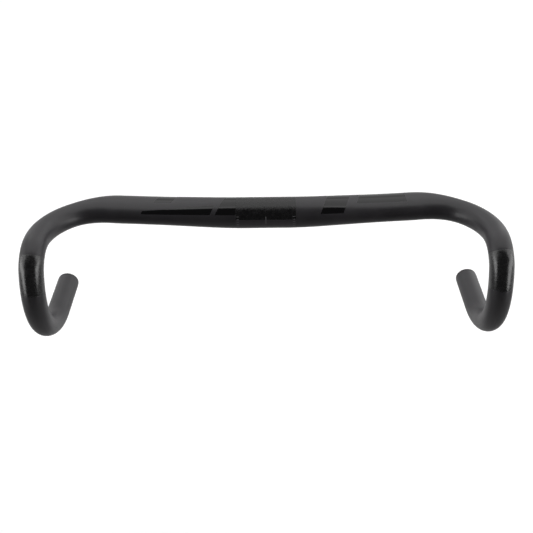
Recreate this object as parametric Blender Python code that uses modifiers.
"""Road drop handlebar in moulded carbon, with its bonded joints and its expanding end plugs.

Metres and degrees, +Z up. +X runs along the tops to the rider's left, -Y is forward, and the
origin is the centre of the stem clamp. A tubular piece is a closed profile of points (distance
along the bar, depth under the skin) carried along the bar's centre line, so pieces that nest
share one shape and keep an even gap. Distances are negative on the rider's right.
"""
import math

import bmesh
import bpy
import numpy as np
from mathutils import Matrix, Vector

# ---- Overall sizes ----
BAR_WIDTH = 0.4450          # between the centre lines where the bends end
REACH = 0.0820              # stem clamp axis forward to the front of the hooks
DROP_HEIGHT = 0.1250        # stem clamp axis down to the drop ends

# ---- Sections ----
CLAMP_DIAMETER = 0.0318
CLAMP_LENGTH = 0.0440       # round stretch in the middle
TAPER_LENGTH = 0.1060       # round to oval, on each side
TOP_CHORD = 0.0348          # oval tops, front to back
TOP_THICKNESS = 0.0265      # oval tops, top to bottom
OVAL_BEFORE_BEND = 0.0050   # the oval starts to turn round this far before the bend
OVAL_BLEND_LENGTH = 0.0540
GRIP_DIAMETER = 0.0238      # hooks and drops, where a brake lever clamps

# ---- Centre line, from the clamp to one end ----
SWEEP_ANGLE = 4.6           # tops swept back
SWEEP_RADIUS = 0.4000
BEND_RADIUS = 0.0638
RAMP_TOE_OUT = 0.8          # ramp turned outwards as it runs forward
RAMP_RISE = 2.5             # ramp rising as it runs forward
HOOK_FLARE = 4.2            # hook's plane leaning outwards towards the drop
HOOK_TOP_TURN = 81.2
HOOK_TOP_RADIUS = 0.0238
HOOK_MIDDLE_TURN = 83.7
HOOK_LOWER_TURN = 17.8
HOOK_LOWER_RADIUS = 0.0625
DROP_LENGTH = 0.0500        # straight end of the drop

# ---- Walls, bonds and friction bands ----
WALL = 0.0020
GAP = 0.0003                # bond line or running gap between neighbouring pieces
CLAMP_LINER_LENGTH = 0.1100
CLAMP_LINER_WALL = 0.0016
JOINT_BEFORE_BEND = 0.0120  # where a drop moulding meets the centre moulding
JOINT_SLEEVE_LENGTH = 0.0360
JOINT_SLEEVE_WALL = 0.0015
BAND_THICKNESS = 0.0005
CLAMP_BAND_LENGTH = 0.0600
LEVER_BAND_LENGTH = 0.0340
LEVER_BAND_BACK = 0.0160    # the band starts this far before the hook's tight top ends
LEVER_LINER_WALL = 0.0010
LEVER_LINER_MARGIN = 0.0050 # liner longer than its band by this much at each end

# ---- End plugs, measured from the tube's end face ----
FLANGE_DIAMETER = 0.0234
FLANGE_THICKNESS = 0.0025
FLANGE_CHAMFER = 0.0008
SPIGOT_LENGTH = 0.0060
EXPANDER_LENGTH = 0.0150
EXPANDER_BORE = 0.0104
TAPER_DEPTH = 0.0090        # taper inside the expander's inner end
TAPER_MOUTH = 0.0150        # the taper's widest diameter
SLOT_WIDTH = 0.0026
SLOT_LENGTH = 0.0105
RIB_REACH = 0.0010          # ribs stop this far inside the tube's bore
WEDGE_TAIL = 0.0030         # straight end of the wedge behind its cone
SCREW_DIAMETER = 0.0050
SCREW_PITCH = 0.0008
SCREW_TURNS = 4             # from tight to loose
SCREW_PAST_WEDGE = 0.0008   # screw tip beyond the tight wedge, on top of the wedge's travel
HEAD_DIAMETER = 0.0085
HEAD_LENGTH = 0.0050
HEX_ACROSS_FLATS = 0.0040
HEX_DEPTH = 0.0028

# ---- Mesh fineness ----
RING_POINTS = 20
STATION_STEP = 0.0140
STATION_SAG = 0.00015       # widest gap between an arc and the line between its stations
TURNED_STEPS = 24
OVERCUT = 0.0010            # cutters run past the faces they cut

PARTS_NAME = "drop_handlebar"
CUTTERS_NAME = "cutters"
SIDES = {"left": 1, "right": -1}


# ---------------------------------------------------------------- scene and materials
def empty_scene():
    for item in list(bpy.data.objects):
        bpy.data.objects.remove(item, do_unlink=True)


def new_collection(name):
    collection = bpy.data.collections.new(name)
    bpy.context.scene.collection.children.link(collection)
    return collection


def new_material(name, colour, roughness, metallic=0.0):
    material = bpy.data.materials.new(name)
    material.use_nodes = True
    shader = material.node_tree.nodes["Principled BSDF"]
    shader.inputs["Base Color"].default_value = (*colour, 1.0)
    shader.inputs["Roughness"].default_value = roughness
    shader.inputs["Metallic"].default_value = metallic
    return material


# ---------------------------------------------------------------- centre line
def turning(axis, degrees):
    return np.array(Matrix.Rotation(math.radians(degrees), 3, Vector(axis)))


def ramp_direction():
    toe, rise = math.radians(RAMP_TOE_OUT), math.radians(RAMP_RISE)
    return np.array([math.sin(toe) * math.cos(rise), -math.cos(toe) * math.cos(rise), math.sin(rise)])


def hook_axis():
    """The axis that the hook turns about: level, then leant over by the flare."""
    level = np.cross(ramp_direction(), [0.0, 0.0, -1.0])
    return turning(ramp_direction(), HOOK_FLARE) @ (level / np.linalg.norm(level))


def straight(length):
    return {"length": length, "turn": 0.0, "axis": np.array([0.0, 0.0, 1.0]), "radius": 0.0}


def arc(axis, turn, radius):
    return {"length": math.radians(turn) * radius, "turn": turn, "axis": axis, "radius": radius}


def tops_pieces(tops_length):
    """Clamp, sweep, straight top and bend. Each piece starts where the one before ends."""
    sweep_axis = np.array([0.0, 0.0, 1.0])
    top_direction = turning(sweep_axis, SWEEP_ANGLE) @ np.array([1.0, 0.0, 0.0])
    bend_axis = np.cross(top_direction, ramp_direction())
    bend_turn = math.degrees(math.acos(top_direction @ ramp_direction()))
    return [straight(CLAMP_LENGTH / 2), arc(sweep_axis, SWEEP_ANGLE, SWEEP_RADIUS), straight(tops_length),
            arc(bend_axis / np.linalg.norm(bend_axis), bend_turn, BEND_RADIUS)]


def hook_pieces(ramp_length, middle_radius):
    return [straight(ramp_length), arc(hook_axis(), HOOK_TOP_TURN, HOOK_TOP_RADIUS),
            arc(hook_axis(), HOOK_MIDDLE_TURN, middle_radius),
            arc(hook_axis(), HOOK_LOWER_TURN, HOOK_LOWER_RADIUS), straight(DROP_LENGTH)]


def along(piece, point, frame, distance):
    """Point and frame at a distance into a piece that starts at the given point and frame."""
    tangent = frame[:, 0]
    if not piece["turn"]:
        return point + tangent * distance, frame
    share = distance / piece["length"] if piece["length"] else 1.0
    rotation = turning(piece["axis"], piece["turn"] * share)
    centre = point + piece["radius"] * np.cross(piece["axis"], tangent)
    return centre + rotation @ (point - centre), rotation @ frame


def after(pieces, point, frame):
    for piece in pieces:
        point, frame = along(piece, point, frame, piece["length"])
    return point, frame


def start_frame():
    """Columns: along the bar, forward across the section, up across the section."""
    return np.array([[1.0, 0.0, 0.0], [0.0, -1.0, 0.0], [0.0, 0.0, 1.0]]).T


def solve_tops_length():
    """The straight top that puts the ends of the bends at half the bar's width."""
    short, _ = after(tops_pieces(0.0), np.zeros(3), start_frame())
    unit, _ = after(tops_pieces(1.0), np.zeros(3), start_frame())
    return (BAR_WIDTH / 2 - short[0]) / (unit[0] - short[0])


def front_and_end(ramp_start, frame, ramp_length, middle_radius):
    """Forward distance of the hook's front, and depth of the drop's end, under the clamp axis."""
    pieces = hook_pieces(ramp_length, middle_radius)
    middle_start, middle_frame = after(pieces[:2], ramp_start, frame)
    tangent = middle_frame[:, 0]
    inward = np.cross(hook_axis(), tangent)
    front_turn = math.atan2(-tangent[1], inward[1])
    front = middle_start + middle_radius * (math.sin(front_turn) * tangent
                                            + (1.0 - math.cos(front_turn)) * inward)
    end, _ = after(pieces, ramp_start, frame)
    return np.array([-front[1], -end[2]])


def solve_hook(ramp_start, frame):
    """Both distances grow evenly with the ramp's length and the hook's middle radius."""
    none = front_and_end(ramp_start, frame, 0.0, 0.0)
    per_ramp = front_and_end(ramp_start, frame, 1.0, 0.0) - none
    per_radius = front_and_end(ramp_start, frame, 0.0, 1.0) - none
    return np.linalg.solve(np.column_stack([per_ramp, per_radius]), np.array([REACH, DROP_HEIGHT]) - none)


def arc_steps(piece):
    if not piece["turn"]:
        return 1
    step = 2 * math.degrees(math.acos(1 - STATION_SAG / piece["radius"]))
    return math.ceil(piece["turn"] / step)


def make_stations():
    """Points and frames along one side, with the distance at which each named stretch ends."""
    tops = tops_pieces(solve_tops_length())
    ramp_start, ramp_frame = after(tops, np.zeros(3), start_frame())
    ramp_length, middle_radius = solve_hook(ramp_start, ramp_frame)
    pieces = tops + hook_pieces(ramp_length, middle_radius)
    names = ["clamp", "sweep", "top", "bend", "ramp", "hook_top", "hook_middle", "hook_lower", "drop"]
    stations, ends = [], {}
    point, frame, distance = np.zeros(3), start_frame(), 0.0
    for name, piece in zip(names, pieces):
        count = max(1, math.ceil(piece["length"] / STATION_STEP), arc_steps(piece))
        for step in range(count):
            here = piece["length"] * step / count
            stations.append((distance + here, *along(piece, point, frame, here)))
        point, frame = along(piece, point, frame, piece["length"])
        distance += piece["length"]
        ends[name] = distance
    stations.append((distance, point, frame))
    return stations, ends


STATIONS, ENDS = make_stations()
DISTANCES = [station[0] for station in STATIONS]
JOINT = ENDS["top"] - JOINT_BEFORE_BEND
LEVER_BAND_START = ENDS["hook_top"] - LEVER_BAND_BACK
LEVER_BAND_END = LEVER_BAND_START + LEVER_BAND_LENGTH
BAR_END = ENDS["drop"]


# ---------------------------------------------------------------- sections and tubular pieces
def smooth(share):
    share = min(max(share, 0.0), 1.0)
    return share * share * (3.0 - 2.0 * share)


def half_axes(distance):
    """Half chord and half thickness: round clamp, oval tops, round grips."""
    to_oval = smooth((distance - CLAMP_LENGTH / 2) / TAPER_LENGTH)
    to_grip = smooth((distance - ENDS["top"] + OVAL_BEFORE_BEND) / OVAL_BLEND_LENGTH)
    sizes = []
    for oval in (TOP_CHORD, TOP_THICKNESS):
        tops = CLAMP_DIAMETER + (oval - CLAMP_DIAMETER) * to_oval
        sizes.append((tops + (GRIP_DIAMETER - tops) * to_grip) / 2)
    return sizes


def station_ring(index, depth):
    distance, point, frame = STATIONS[index]
    chord, thickness = half_axes(distance)
    angles = np.arange(RING_POINTS) * 2 * math.pi / RING_POINTS
    across = np.outer(np.cos(angles) * (chord - depth), frame[:, 1])
    upward = np.outer(np.sin(angles) * (thickness - depth), frame[:, 2])
    return point + across + upward


def ring(distance, depth):
    """Ring on the faceted tube: between two stations it lies on the straight line joining them."""
    reached = abs(distance)
    index = min(max(np.searchsorted(DISTANCES, reached) - 1, 0), len(STATIONS) - 2)
    share = (reached - DISTANCES[index]) / (DISTANCES[index + 1] - DISTANCES[index])
    points = station_ring(index, depth) * (1 - share) + station_ring(index + 1, depth) * share
    if distance < 0:
        points = points * np.array([-1.0, 1.0, 1.0])
    return points


def with_stations(profile):
    """The closed profile, with a point added at every station that one of its sides passes."""
    signed = sorted({-value for value in DISTANCES} | set(DISTANCES))
    filled = []
    for (start, start_depth), (end, end_depth) in zip(profile, profile[1:] + profile[:1]):
        filled.append((start, start_depth))
        between = [value for value in signed if min(start, end) < value < max(start, end)]
        if end < start:
            between.reverse()
        for value in between:
            share = (value - start) / (end - start)
            filled.append((value, start_depth + (end_depth - start_depth) * share))
    return filled


def tubular(name, profile, material, collection):
    rings = [ring(distance, depth) for distance, depth in with_stations(profile)]
    points = np.concatenate(rings)
    faces = []
    for row in range(len(rings)):
        following = (row + 1) % len(rings)
        for column in range(RING_POINTS):
            beside = (column + 1) % RING_POINTS
            faces.append((row * RING_POINTS + column, row * RING_POINTS + beside,
                          following * RING_POINTS + beside, following * RING_POINTS + column))
    mesh = bpy.data.meshes.new(name)
    mesh.from_pydata(points.tolist(), [], faces)
    return finish_mesh(name, mesh, material, collection)


def finish_mesh(name, mesh, material, collection):
    shape = bmesh.new()
    shape.from_mesh(mesh)
    bmesh.ops.recalc_face_normals(shape, faces=shape.faces)
    shape.to_mesh(mesh)
    shape.free()
    mesh.shade_smooth()
    mesh.set_sharp_from_angle(angle=math.radians(40))
    mesh.materials.append(material)
    item = bpy.data.objects.new(name, mesh)
    collection.objects.link(item)
    return item


def sleeve_profile(start, end, outer_depth, wall):
    return [(start, outer_depth), (end, outer_depth), (end, outer_depth + wall), (start, outer_depth + wall)]


def relieved_profile(start, end, band_start, band_end):
    """A shell with a shallow seat for a friction band, a gap longer than the band at each end."""
    seat = BAND_THICKNESS + GAP
    low, high = band_start - GAP, band_end + GAP
    return [(start, 0.0), (low, 0.0), (low, seat), (high, seat), (high, 0.0), (end, 0.0),
            (end, WALL), (start, WALL)]


def on_side(profile, side):
    return [(side * distance, depth) for distance, depth in profile]


# ---------------------------------------------------------------- centre moulding
def make_tops_shell(carbon, parts):
    half_band = CLAMP_BAND_LENGTH / 2
    tubular("tops_shell", relieved_profile(-JOINT, JOINT, -half_band, half_band), carbon, parts)


def make_clamp_liner(laminate, parts):
    half = CLAMP_LINER_LENGTH / 2
    tubular("clamp_liner", sleeve_profile(-half, half, WALL + GAP, CLAMP_LINER_WALL), laminate, parts)


def make_clamp_band(grit, parts):
    half = CLAMP_BAND_LENGTH / 2
    tubular("clamp_grip_band", sleeve_profile(-half, half, 0.0, BAND_THICKNESS), grit, parts)


# ---------------------------------------------------------------- each side's mouldings
def make_drop_shell(label, side, carbon, parts):
    profile = relieved_profile(JOINT + GAP, BAR_END, LEVER_BAND_START, LEVER_BAND_END)
    tubular(f"{label}_drop_shell", on_side(profile, side), carbon, parts)


def make_joint_sleeve(label, side, laminate, parts):
    start, end = JOINT - JOINT_SLEEVE_LENGTH / 2, JOINT + JOINT_SLEEVE_LENGTH / 2
    profile = sleeve_profile(start, end, WALL + GAP, JOINT_SLEEVE_WALL)
    tubular(f"{label}_joint_sleeve", on_side(profile, side), laminate, parts)


def make_lever_liner(label, side, laminate, parts):
    start, end = LEVER_BAND_START - LEVER_LINER_MARGIN, LEVER_BAND_END + LEVER_LINER_MARGIN
    profile = sleeve_profile(start, end, WALL + GAP, LEVER_LINER_WALL)
    tubular(f"{label}_lever_liner", on_side(profile, side), laminate, parts)


def make_lever_band(label, side, grit, parts):
    profile = sleeve_profile(LEVER_BAND_START, LEVER_BAND_END, 0.0, BAND_THICKNESS)
    tubular(f"{label}_lever_grip_band", on_side(profile, side), grit, parts)


# ---------------------------------------------------------------- end plugs
def end_matrix(side):
    """Origin at the centre of the tube's end face, Z pointing out of the tube."""
    _, point, frame = STATIONS[-1]
    mirrored = np.array([side, 1.0, 1.0])
    outward = Vector(frame[:, 0] * mirrored)
    return Matrix.Translation(Vector(point * mirrored)) @ outward.to_track_quat("Z", "Y").to_matrix().to_4x4()


def tube_bore_radius():
    """Inscribed radius of the faceted bore at the tube's end."""
    return (GRIP_DIAMETER / 2 - WALL) * math.cos(math.pi / RING_POINTS)


def turned(name, profile, closed, collection):
    """Outline of (radius, height) points, top to bottom on its outer side, swept round Z."""
    mesh = bpy.data.meshes.new(name)
    edges = [(index, index + 1) for index in range(len(profile) - 1)]
    if closed:
        edges.append((len(profile) - 1, 0))
    mesh.from_pydata([(radius, 0.0, height) for radius, height in profile], edges, [])
    item = bpy.data.objects.new(name, mesh)
    collection.objects.link(item)
    screw = item.modifiers.new("turn", "SCREW")
    screw.steps = TURNED_STEPS
    screw.render_steps = TURNED_STEPS
    screw.use_merge_vertices = True
    screw.merge_threshold = 0.00005
    screw.use_normal_calculate = True
    return item


def box_tool(name, size, centre, spin, cutters):
    shape = bmesh.new()
    bmesh.ops.create_cube(shape, size=1.0)
    bmesh.ops.scale(shape, vec=size, verts=shape.verts)
    bmesh.ops.translate(shape, vec=centre, verts=shape.verts)
    bmesh.ops.rotate(shape, cent=(0, 0, 0), matrix=Matrix.Rotation(spin, 3, "Z"), verts=shape.verts)
    return tool_object(name, shape, cutters)


def rod_tool(name, radius, bottom, top, segments, cutters):
    shape = bmesh.new()
    bmesh.ops.create_cone(shape, cap_ends=True, segments=segments, radius1=radius, radius2=radius,
                          depth=top - bottom)
    bmesh.ops.translate(shape, vec=(0, 0, (top + bottom) / 2), verts=shape.verts)
    return tool_object(name, shape, cutters)


def tool_object(name, shape, cutters):
    mesh = bpy.data.meshes.new(name)
    shape.to_mesh(mesh)
    shape.free()
    item = bpy.data.objects.new(name, mesh)
    item.hide_render = True
    item.display_type = "WIRE"
    cutters.objects.link(item)
    return item


def combine(item, tool, operation):
    tool.matrix_world = item.matrix_world
    modifier = item.modifiers.new(tool.name, "BOOLEAN")
    modifier.operation = operation
    modifier.solver = "EXACT"
    modifier.object = tool


def place(item, side, material):
    item.matrix_world = end_matrix(side)
    item.data.materials.append(material)


def flange_top():
    return GAP + FLANGE_THICKNESS


def head_top():
    return flange_top() - GAP


def head_bottom():
    return head_top() - HEAD_LENGTH


def expander_top():
    return -SPIGOT_LENGTH - GAP


def expander_bottom():
    return expander_top() - EXPANDER_LENGTH


def make_plug_cap(label, side, plastic, parts):
    top, underside = flange_top(), GAP
    rim, spigot = FLANGE_DIAMETER / 2, tube_bore_radius() - GAP
    shank_hole, head_hole = SCREW_DIAMETER / 2 + GAP, HEAD_DIAMETER / 2 + GAP
    seat = head_bottom() - GAP
    profile = [(head_hole, top), (rim - FLANGE_CHAMFER, top), (rim, top - FLANGE_CHAMFER), (rim, underside),
               (spigot, underside), (spigot, -SPIGOT_LENGTH), (shank_hole, -SPIGOT_LENGTH),
               (shank_hole, seat), (head_hole, seat)]
    place(turned(f"{label}_plug_cap", profile, True, parts), side, plastic)


def make_plug_expander(label, side, rubber, parts, cutters):
    top, bottom = expander_top(), expander_bottom()
    outer, bore, mouth = tube_bore_radius() - GAP, EXPANDER_BORE / 2, TAPER_MOUTH / 2
    profile = [(bore, top), (outer, top), (outer, bottom), (mouth, bottom), (bore, bottom + TAPER_DEPTH)]
    item = turned(f"{label}_plug_expander", profile, True, parts)
    place(item, side, rubber)
    slot_height = SLOT_LENGTH + OVERCUT
    middle = (0, 0, bottom + SLOT_LENGTH - slot_height / 2)
    for index, spin in enumerate((0.0, math.pi / 2)):
        size = (2 * (outer + OVERCUT), SLOT_WIDTH, slot_height)
        slot = box_tool(f"{label}_slot_{index}", size, middle, spin, cutters)
        combine(item, slot, "DIFFERENCE")


def wedge_cone():
    """Radii and heights of the wedge's cone, which lies one gap inside the expander's taper."""
    slope = (TAPER_MOUTH - EXPANDER_BORE) / 2 / TAPER_DEPTH
    sideways = GAP * math.hypot(1.0, slope)
    bottom = expander_bottom()
    top = bottom + TAPER_DEPTH - GAP
    return TAPER_MOUTH / 2 - sideways, bottom, TAPER_MOUTH / 2 - slope * (top - bottom) - sideways, top


def wedge_travel():
    return SCREW_TURNS * SCREW_PITCH


def make_plug_wedge(label, side, alloy, parts, cutters):
    wide, bottom, narrow, top = wedge_cone()
    tail = bottom - WEDGE_TAIL
    profile = [(0.0, top), (narrow, top), (wide, bottom), (wide, tail), (0.0, tail)]
    item = turned(f"{label}_plug_wedge", profile, False, parts)
    place(item, side, alloy)
    rib_top = bottom + SLOT_LENGTH - TAPER_DEPTH / 2
    rib_length = 2 * (tube_bore_radius() - RIB_REACH)
    for index, spin in enumerate((0.0, math.pi / 2)):
        size = (rib_length, SLOT_WIDTH - 2 * GAP, rib_top - tail)
        rib = box_tool(f"{label}_rib_{index}", size, (0, 0, (rib_top + tail) / 2), spin, cutters)
        combine(item, rib, "UNION")
    thread = rod_tool(f"{label}_thread", SCREW_DIAMETER / 2 + GAP, tail - OVERCUT, top + OVERCUT,
                      TURNED_STEPS, cutters)
    combine(item, thread, "DIFFERENCE")


def make_plug_screw(label, side, steel, parts, cutters):
    top = head_top()
    head, shank = HEAD_DIAMETER / 2, SCREW_DIAMETER / 2
    tip = expander_bottom() - WEDGE_TAIL - wedge_travel() - SCREW_PAST_WEDGE
    profile = [(0.0, top), (head, top), (head, head_bottom()), (shank, head_bottom()), (shank, tip), (0.0, tip)]
    item = turned(f"{label}_plug_screw", profile, False, parts)
    place(item, side, steel)
    across_corners = HEX_ACROSS_FLATS / math.cos(math.pi / 6)
    hexagon = rod_tool(f"{label}_hex", across_corners / 2, top - HEX_DEPTH, top + OVERCUT, 6, cutters)
    combine(item, hexagon, "DIFFERENCE")


# ---------------------------------------------------------------- whole handlebar
def main():
    empty_scene()
    parts, cutters = new_collection(PARTS_NAME), new_collection(CUTTERS_NAME)
    carbon = new_material("matte_carbon", (0.016, 0.015, 0.017), 0.5)
    laminate = new_material("raw_laminate", (0.022, 0.022, 0.023), 0.6)
    grit = new_material("friction_grit", (0.010, 0.010, 0.010), 0.35)
    plastic = new_material("plug_plastic", (0.018, 0.018, 0.018), 0.55)
    rubber = new_material("plug_rubber", (0.014, 0.014, 0.014), 0.85)
    alloy = new_material("wedge_alloy", (0.60, 0.61, 0.62), 0.35, 1.0)
    steel = new_material("screw_steel", (0.08, 0.08, 0.085), 0.4, 1.0)
    make_tops_shell(carbon, parts)
    make_clamp_liner(laminate, parts)
    make_clamp_band(grit, parts)
    for label, side in SIDES.items():
        make_drop_shell(label, side, carbon, parts)
        make_joint_sleeve(label, side, laminate, parts)
        make_lever_liner(label, side, laminate, parts)
        make_lever_band(label, side, grit, parts)
        make_plug_cap(label, side, plastic, parts)
        make_plug_expander(label, side, rubber, parts, cutters)
        make_plug_wedge(label, side, alloy, parts, cutters)
        make_plug_screw(label, side, steel, parts, cutters)


main()
